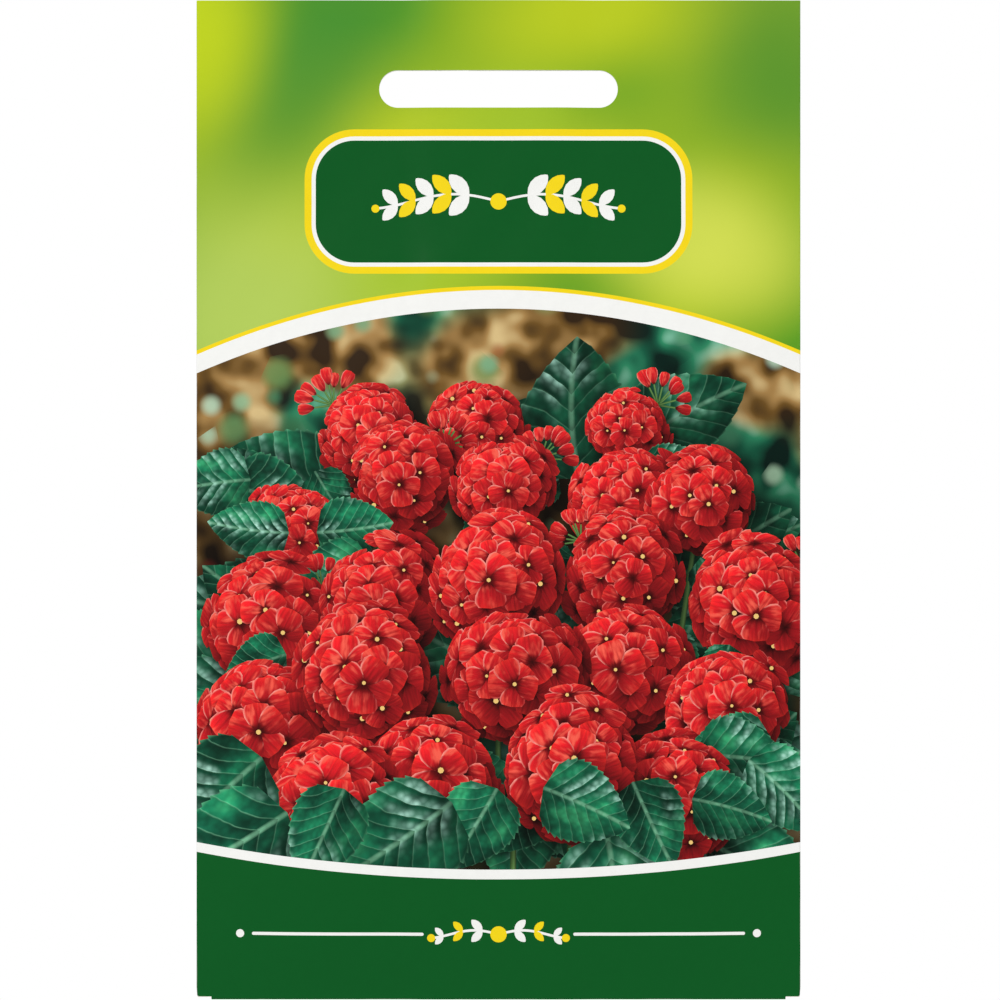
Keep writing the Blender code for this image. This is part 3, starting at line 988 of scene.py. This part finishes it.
# Soil and leaves far behind the flowers, out of focus: soft patches of tan, brown and green with round blurs
# of far leaves and flowers over them, darker where the plants shade it
def groundPaint(tree, spot):
    wide = addNode(tree, "TexNoise", {"Vector": spot, "Scale": 0.06, "Detail": 0.5})[0]
    fine = addNode(tree, "TexNoise", {"Vector": spot, "Scale": 0.2, "Detail": 1.0, "Roughness": 0.5})[0]
    earth, growth = (addNode(tree, "ValToRGB", [fine], groundInks[name])[0] for name in ("earth", "growth"))
    across = addNode(tree, "SeparateXYZ", [spot])
    side = addNode(tree, "MapRange", [across[0], *groundInks["lean"]])[0]
    leaning = addNode(tree, "Math ADD", [wide, side])[0]
    part = addNode(tree, "MapRange", [leaning, 0.44, 0.56], **smooth)[0]
    colour = layered(tree, earth, (part, growth))
    for scale, chosen, blurInks in groundInks["blurs"]:
        blur = addNode(tree, "TexVoronoi", {"Vector": spot, "Scale": scale})
        parts = addNode(tree, "SeparateXYZ", [blur["Color"]])
        near = addNode(tree, "MapRange", [blur["Distance"], 0.12, 0.46, 0.8, 0], **smooth)[0]
        shown = addNode(tree, "Math GREATER_THAN", [parts[0], chosen])[0]
        ink = addNode(tree, "ValToRGB", [parts[1]], blurInks)[0]
        colour = layered(tree, colour, (product(tree, [near, shown]), ink))
    shade = cornerValues(tree, "printLight")[1][2]
    clear = addNode(tree, "MapRange", [shade, 0, 1, 1, 0.16])[0]
    low = addNode(tree, "MapRange", [across[2], *groundInks["dim"]])[0]
    return addNode(tree, "VectorMath SCALE", {0: colour, "Scale": product(tree, [clear, low])})[0]


# How far a spot is from a blade's midrib, and that as a share of the blade's half width there,
# u^foot (1 - u)^tip over its most
def bladeSpot(tree, own, bow, look):
    widest = look["foot"] / (look["foot"] + look["tip"])
    most = widest ** look["foot"] * (1 - widest) ** look["tip"]
    squared = product(tree, [own[0], own[0], bow])
    across = addNode(tree, "Math SUBTRACT", [own[1], squared])[0]
    away = addNode(tree, "Math ABSOLUTE", [across])[0]
    back = addNode(tree, "Math SUBTRACT", [1.001, own[0]])[0]  # stays above 0 at the tip
    rise = addNode(tree, "Math POWER", [own[0], look["foot"]])[0]
    fall = addNode(tree, "Math POWER", [back, look["tip"]])[0]
    width = product(tree, [rise, fall, 1 / most])
    return across, away, addNode(tree, "Math DIVIDE", [away, width])[0]


petalInks = {
    "length": ((0.0, "#6c0708"), (1.0, "#e82420"), (0.2, "#a50c14"), (0.5, "#c40f1b"), (0.8, "#d6161d")),
    "veins": (1.7, 6, 53),  # how finely they vary along, across and from petal to petal, as the sheen's
    "sheen": "#ff6450",
    "sheenSpots": (1.6, 1.9, 71),
    "rim": "#ffab9c",
}


# The picture's reds. Along a petal the ink goes from deep to bright, with veins along it, one half lighter
# than the other, a pale rim, and shade where other petals or heads cover it.
def petalPaint(tree, spot):
    place, own, bow = cornerValues(tree, "printPlace")
    _, lit, slope = cornerValues(tree, "printLight")
    across, away, share = bladeSpot(tree, own, bow, petal)
    along = addNode(tree, "ValToRGB", [own[0]], petalInks["length"])[0]
    stretched = addNode(tree, "VectorMath MULTIPLY", [place, petalInks["veins"]])[0]
    streak = addNode(tree, "TexNoise", {"Vector": stretched, "Scale": 1.0, "Detail": 3.0})[0]
    sided = product(tree, [across, slope])
    past = addNode(tree, "Math SUBTRACT", [own[0], lit[1]])[0]
    tones = [
        addNode(tree, "MapRange", values)[0]
        for values in (
            (streak, 0.3, 0.7, 0.74, 1.22),
            (away, 0.0, 0.1, 0.8, 1.0),
            (lit[2], 0.0, 1.0, 1.0, 0.2),
            (sided, -0.7, 0.7, 0.66, 1.3),
        )
    ]
    fromEye = addNode(tree, "MapRange", [past, -0.02, 0.22, 0.4, 1.0], **smooth)[0]
    lightness = product(tree, [*tones, fromEye, lit[0]])
    colour = addNode(tree, "VectorMath SCALE", {0: along, "Scale": lightness})[0]
    sheenSpot = addNode(tree, "VectorMath MULTIPLY", [place, petalInks["sheenSpots"]])[0]
    gloss = addNode(tree, "TexNoise", {"Vector": sheenSpot, "Scale": 1.0, "Detail": 2.0})[0]
    patch = addNode(tree, "MapRange", [gloss, 0.47, 0.7, 0.0, 0.9], **smooth)[0]
    bright = addNode(tree, "MapRange", [lightness, 0.55, 1.15])[0]
    edge = addNode(tree, "MapRange", [share, 0.78, 0.96, 0.0, 0.8], **smooth)[0]
    sheen, rim = product(tree, [patch, bright]), product(tree, [edge, bright, streak, 1.5])
    return layered(tree, colour, (sheen, petalInks["sheen"]), (rim, petalInks["rim"]))


leafInks = {
    "patches": ((0.3, "#063a28"), (0.7, "#37ab72"), (0.46, "#0b5c40"), (0.58, "#168057")),
    "patchSpots": (2.2, 1.4, 47),  # how finely they vary along, across and from leaf to leaf, as the next two
    "netSpots": (17, 8, 31),
    "sheenSpots": (1.7, 1.2, 91),
    "vein": "#7fc29a",
    "veins": 7.5,  # pairs of side veins
    "slant": -0.46,
    "curve": 0.16,
    "waver": 0.9,
    "sheen": "#b4e6d4",
    "sheenShare": 0.75,
    "rim": "#6fbf8e",
}


# The picture's leaves: side veins that curve to the tip and a fine net, with the blade puckered between them,
# one half lighter than the other, and a cold sheen in patches
def leafPaint(tree, spot):
    place, own, bow = cornerValues(tree, "printPlace")
    _, lit, slope = cornerValues(tree, "printLight")
    across, away, share = bladeSpot(tree, own, bow, leaf)
    patchSpot, netSpot, sheenSpot = (
        addNode(tree, "VectorMath MULTIPLY", [place, leafInks[name]])[0]
        for name in ("patchSpots", "netSpots", "sheenSpots")
    )
    patch = addNode(tree, "TexNoise", {"Vector": patchSpot, "Scale": 1.0, "Detail": 3.0})[0]
    blade = addNode(tree, "ValToRGB", [patch], leafInks["patches"])[0]
    curved = product(tree, [away, away, leafInks["curve"]])
    slant = addNode(tree, "Math MULTIPLY_ADD", [away, leafInks["slant"], own[0]])[0]
    slant = addNode(tree, "Math ADD", [slant, curved])[0]
    waver = product(tree, [patch, leafInks["waver"]])
    run = addNode(tree, "Math MULTIPLY_ADD", [slant, leafInks["veins"], waver])[0]
    between = addNode(tree, "Math FRACT", [run])[0]
    fromVein = addNode(tree, "Math SUBTRACT", [between, 0.5])[0]
    fromVein = addNode(tree, "Math ABSOLUTE", [fromVein])[0]
    vein = addNode(tree, "MapRange", [fromVein, 0.43, 0.5, 0.0, 0.34])[0]
    midrib = addNode(tree, "MapRange", [away, 0.02, 0.06, 0.7, 0.0])[0]
    lines = addNode(tree, "Math MAXIMUM", [vein, midrib])[0]
    net = addNode(tree, "TexVoronoi", {"Vector": netSpot, "Scale": 1.0})[0]
    sided = product(tree, [across, slope])
    tones = [
        addNode(tree, "MapRange", values)[0]
        for values in (
            (sided, -0.14, 0.14, 0.66, 1.22),
            (between, 0.0, 1.0, 0.7, 1.22),
            (net, 0.1, 0.8, 1.16, 0.78),
            (lit[2], 0.0, 1.0, 1.0, 0.14),
            (own[0], 0.0, 0.25, 0.6, 1.0),
        )
    ]
    lightness = product(tree, [*tones, lit[0]])
    veined = layered(tree, blade, (lines, leafInks["vein"]))
    colour = addNode(tree, "VectorMath SCALE", {0: veined, "Scale": lightness})[0]
    gloss = addNode(tree, "TexNoise", {"Vector": sheenSpot, "Scale": 1.0, "Detail": 1.0})[0]
    sheen = addNode(tree, "MapRange", [gloss, 0.5, 0.68], **smooth)[0]
    crest = addNode(tree, "MapRange", [between, 0.15, 0.9], **smooth)[0]
    rough = addNode(tree, "MapRange", [net, 0.15, 0.75, 1.0, 0.35])[0]
    edge = addNode(tree, "MapRange", [share, 0.9, 0.99, 0.0, 0.5], **smooth)[0]
    sheen = product(tree, [sheen, crest, rough, lightness, leafInks["sheenShare"]])
    rim = product(tree, [edge, lightness])
    return layered(tree, colour, (sheen, leafInks["sheen"]), (rim, leafInks["rim"]))


stalkInks = ((0.0, "#16301a"), (1.0, "#2c5426"), (0.4, "#6f9a52"))


# A stalk is rounded: lighter along its middle, and shaded by what hangs over it
def stalkPaint(tree, spot):
    own = cornerValues(tree, "printPlace")[1]
    shade = cornerValues(tree, "printLight")[1][2]
    half = addNode(tree, "MapRange", [own[1], -1, 1])[0]
    green = addNode(tree, "ValToRGB", [half], stalkInks)[0]
    clear = addNode(tree, "MapRange", [shade, 0, 1, 1, 0.15])[0]
    return addNode(tree, "VectorMath SCALE", {0: green, "Scale": clear})[0]


packet = makePacket()
print("packet folded")
paints = {
    "white": "#f6f6f3",
    "header": headerPaint,
    "ground": groundPaint,
    "leaf": leafPaint,
    "petal": petalPaint,
    "stalk": stalkPaint,
    "anther": "#f0c878",
    "yellow": "#f8da0c",
    "green": "#005c20",
    "red": "#c8161d",
    "pale": "#e6efd6",
    "grey": "#93a395",
}
for ink in inks:
    packet.data.materials.append(printMaterial(f"{ink} print on coated paper", paints[ink]))
packet.data.materials.append(printMaterial("uncoated paper", "#f1efe8", "bare"))
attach(packet, "root")
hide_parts("paper_packet")
print("packet printed")

filmLook = {
    "seal": 5,  # width of the sealed edge
    "sealEdge": 0.2,
    "ribs": 0.8,
    "crinkle": 6.0,
    "seeds": 3.1,  # the lumps that the seeds press into the film
    "tones": ((0.3, "#b9bcbd"), (0.7, "#e2e4e4")),
    "roughness": (0.24, 0.42),  # loose and sealed
    "bump": 0.0004,  # metres
}


# Metallised polypropylene, heat sealed: bright silver that creases sharply, ribbed across its sealed edges
def filmMaterial():
    made, tree, shader, spot = newFinish("metallised film, heat sealed")
    parts = addNode(tree, "SeparateXYZ", [spot])
    side = addNode(tree, "Math ABSOLUTE", [parts[0]])[0]
    half, low, high = relief["sachet"]
    inner, low, high = half - filmLook["seal"], low + filmLook["seal"], high - filmLook["seal"]
    soft = filmLook["sealEdge"]
    sides, atFoot, atHead = (
        addNode(tree, "MapRange", values)[0]
        for values in (
            (side, inner - soft, inner + soft),
            (parts[2], low + soft, low - soft),
            (parts[2], high - soft, high + soft),
        )
    )
    ends = addNode(tree, "Math MAXIMUM", [atFoot, atHead])[0]
    sealed = addNode(tree, "Math MAXIMUM", [sides, ends])[0]
    ribs = product(tree, [parts[2], 2 * math.pi / filmLook["ribs"]])
    ribs = addNode(tree, "Math SINE", [ribs])[0]
    folds = addNode(tree, "TexVoronoi", {"Vector": spot, "Scale": 1 / filmLook["crinkle"]})[0]
    lumps = addNode(tree, "TexNoise", {"Vector": spot, "Scale": 1 / filmLook["seeds"], "Detail": 2.0})[0]
    loose = addNode(tree, "Math ADD", [folds, lumps])[0]
    heights = addNode(tree, "Mix", {0: sealed, 2: loose, 3: ribs}, data_type="FLOAT")[0]
    bump = addNode(tree, "Bump", {"Height": heights, "Strength": 0.5, "Distance": filmLook["bump"]})[0]
    tone = addNode(tree, "ValToRGB", [lumps], filmLook["tones"])[0]
    rough = addNode(tree, "MapRange", [sealed, 0, 1, *filmLook["roughness"]])[0]
    setInputs(tree, shader, {"Base Color": tone, "Roughness": rough, "Metallic": 1.0, "Normal": bump})
    return made


seedLook = {
    "mottle": 1.6,  # spots to a millimetre, as the pits
    "browns": ((0.3, "#1f130b"), (0.72, "#8a6742"), (0.48, "#3b2616"), (0.6, "#5c4026")),
    "pits": 4.0,
    "bump": 0.00012,  # metres
    "roughness": (0.72, 0.55),
}


# Dry seed coat: matt brown, finely mottled and pitted, paler along raised places
def seedMaterial():
    made, tree, shader, spot = newFinish("dry seed coat")
    mottle = addNode(tree, "TexNoise", {"Vector": spot, "Scale": seedLook["mottle"], "Detail": 4.0})[0]
    tone = addNode(tree, "ValToRGB", [mottle], seedLook["browns"])[0]
    pits = addNode(tree, "TexVoronoi", {"Vector": spot, "Scale": seedLook["pits"]})[0]
    both = addNode(tree, "Math ADD", [pits, mottle])[0]
    bump = addNode(tree, "Bump", {"Height": both, "Strength": 0.5, "Distance": seedLook["bump"]})[0]
    rough = addNode(tree, "MapRange", [mottle, 0.3, 0.7, *seedLook["roughness"]])[0]
    setInputs(tree, shader, {"Base Color": tone, "Roughness": rough, "Normal": bump})
    return made


finishes = {"sachet": filmMaterial(), "seed": seedMaterial()}
for name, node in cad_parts.items():
    finish = finishes.get(name.split("_")[0])
    if finish:
        node.data.materials.clear()
        node.data.materials.append(finish)
print("film and seeds finished")

stage = {"floorDrop": 0.9, "floorSize": 14.0, "floorTone": "#f3f3f1", "floorRoughness": 0.9}  # metres
floorMesh = bpy.data.meshes.new("floor")
reach = stage["floorSize"] / 2
low = bottom / 1000 - stage["floorDrop"]
floorCorners = [(x * reach, y * reach, low) for x, y in ((-1, -1), (1, -1), (1, 1), (-1, 1))]
floorMesh.from_pydata(floorCorners, [], [(0, 1, 2, 3)])
floor = bpy.data.objects.new("floor", floorMesh)
bpy.context.scene.collection.objects.link(floor)
floorMaterial = bpy.data.materials.new("matt white floor")
floorMaterial.use_nodes = True
floorTree = floorMaterial.node_tree
floorLook = {"Base Color": stage["floorTone"], "Roughness": stage["floorRoughness"]}
setInputs(floorTree, floorTree.nodes["Principled BSDF"], floorLook)
floorMesh.materials.append(floorMaterial)
floor.visible_glossy = False  # so that the varnish mirrors the dim room alone

studio = {
    "sky": 0.9,
    "mirrored": 0.14,  # what glossy surfaces mirror of the dim room round the packet
    "lampSize": 0.9,
    "lamps": (("key", 5.0, (-0.7, -1.2, 0.75)), ("fill", 1.5, (0.9, 1.1, 0.5))),  # power and place, in metres
}
world = bpy.data.worlds.new("studio")
bpy.context.scene.world = world
world.use_nodes = True
sky = world.node_tree
path = addNode(sky, "LightPath")
mirrored = addNode(sky, "MapRange", [path["Is Glossy Ray"], 0, 1, studio["sky"], studio["mirrored"]])[0]
strength = addNode(sky, "MapRange", [path["Is Camera Ray"], 0, 1, mirrored, 1.0])[0]
setInputs(sky, sky.nodes["Background"], {"Strength": strength, "Color": (1, 1, 1, 1)})
middle = Vector((0, 0, (top + bottom) / 2000))
for name, power, at in studio["lamps"]:
    lamp = bpy.data.lights.new(name, "AREA")
    lamp.energy = power
    lamp.size = studio["lampSize"]
    made = bpy.data.objects.new(name, lamp)
    made.location = at
    made.rotation_euler = (middle - Vector(at)).to_track_quat("-Z", "Y").to_euler()
    bpy.context.scene.collection.objects.link(made)

# The photograph is 1000 pixels square: the packet's sides are at 196.5 and 800.5 and it fills the height
photo = {"size": 1000, "left": 196.5, "right": 800.5, "topEdge": 0.5, "lens": 150.0, "sensor": 36.0}
pixel = (packetHigh[0] - packetLow[0]) / (photo["right"] - photo["left"])
camera = bpy.data.cameras.new("camera")
camera.lens = photo["lens"]
camera.sensor_width = photo["sensor"]
cameraAt = bpy.data.objects.new("camera", camera)
distance = pixel * photo["size"] * photo["lens"] / photo["sensor"]
sideways = (photo["size"] / 2 - (photo["left"] + photo["right"]) / 2) * pixel
upwards = top - (photo["size"] / 2 - photo["topEdge"]) * pixel
cameraAt.location = (sideways / 1000, -distance / 1000, upwards / 1000)
cameraAt.rotation_euler = (math.pi / 2, 0, 0)
bpy.context.scene.collection.objects.link(cameraAt)
bpy.context.scene.camera = cameraAt
bpy.context.scene.view_settings.view_transform = "Standard"
